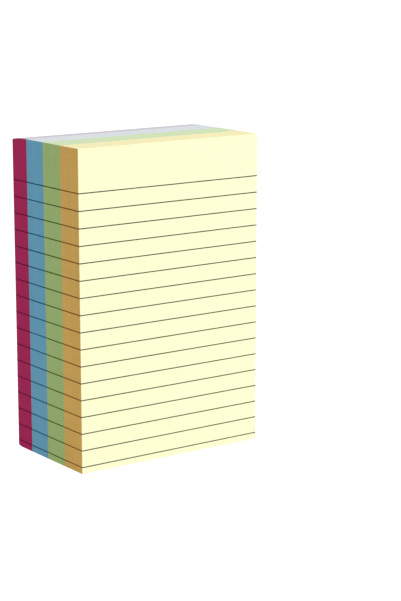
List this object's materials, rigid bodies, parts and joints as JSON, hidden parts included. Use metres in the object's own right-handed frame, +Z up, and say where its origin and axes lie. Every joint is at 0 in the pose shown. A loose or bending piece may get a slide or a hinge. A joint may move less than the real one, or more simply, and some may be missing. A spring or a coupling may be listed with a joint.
{
  "type": "sticky note pad",
  "caption": "Block of ruled sticky note pads in yellow, green, blue and pink paper, standing on its bottom edge, with lines across the front note and round the cut edges.",
  "frame": {"origin": "middle of the base, on the surface that the block stands on", "axes": "+Z up along the height of the notes, +X to the right across their width as seen from the front, -Y out of the front note"},
  "size_m": [0.1016, 0.0598, 0.1524],
  "materials": {
    "yellow_paper": "matt uncoated, deeper ochre on the cut edges",
    "green_paper": "matt uncoated",
    "blue_paper": "matt uncoated",
    "pink_paper": "matt uncoated",
    "ruling_ink": "matt ink soaked into the paper",
    "adhesive": "thin satin coat"
  },
  "bodies": {
    "root": {"yellow_pad": "yellow_paper", "green_pad": "green_paper", "blue_pad": "blue_paper", "pink_pad": "pink_paper", "yellow_ruling": "ruling_ink", "green_ruling": "ruling_ink", "blue_ruling": "ruling_ink", "pink_ruling": "ruling_ink", "yellow_adhesive": "adhesive", "green_adhesive": "adhesive", "blue_adhesive": "adhesive", "pink_adhesive": "adhesive"}
  },
  "joints": []
}
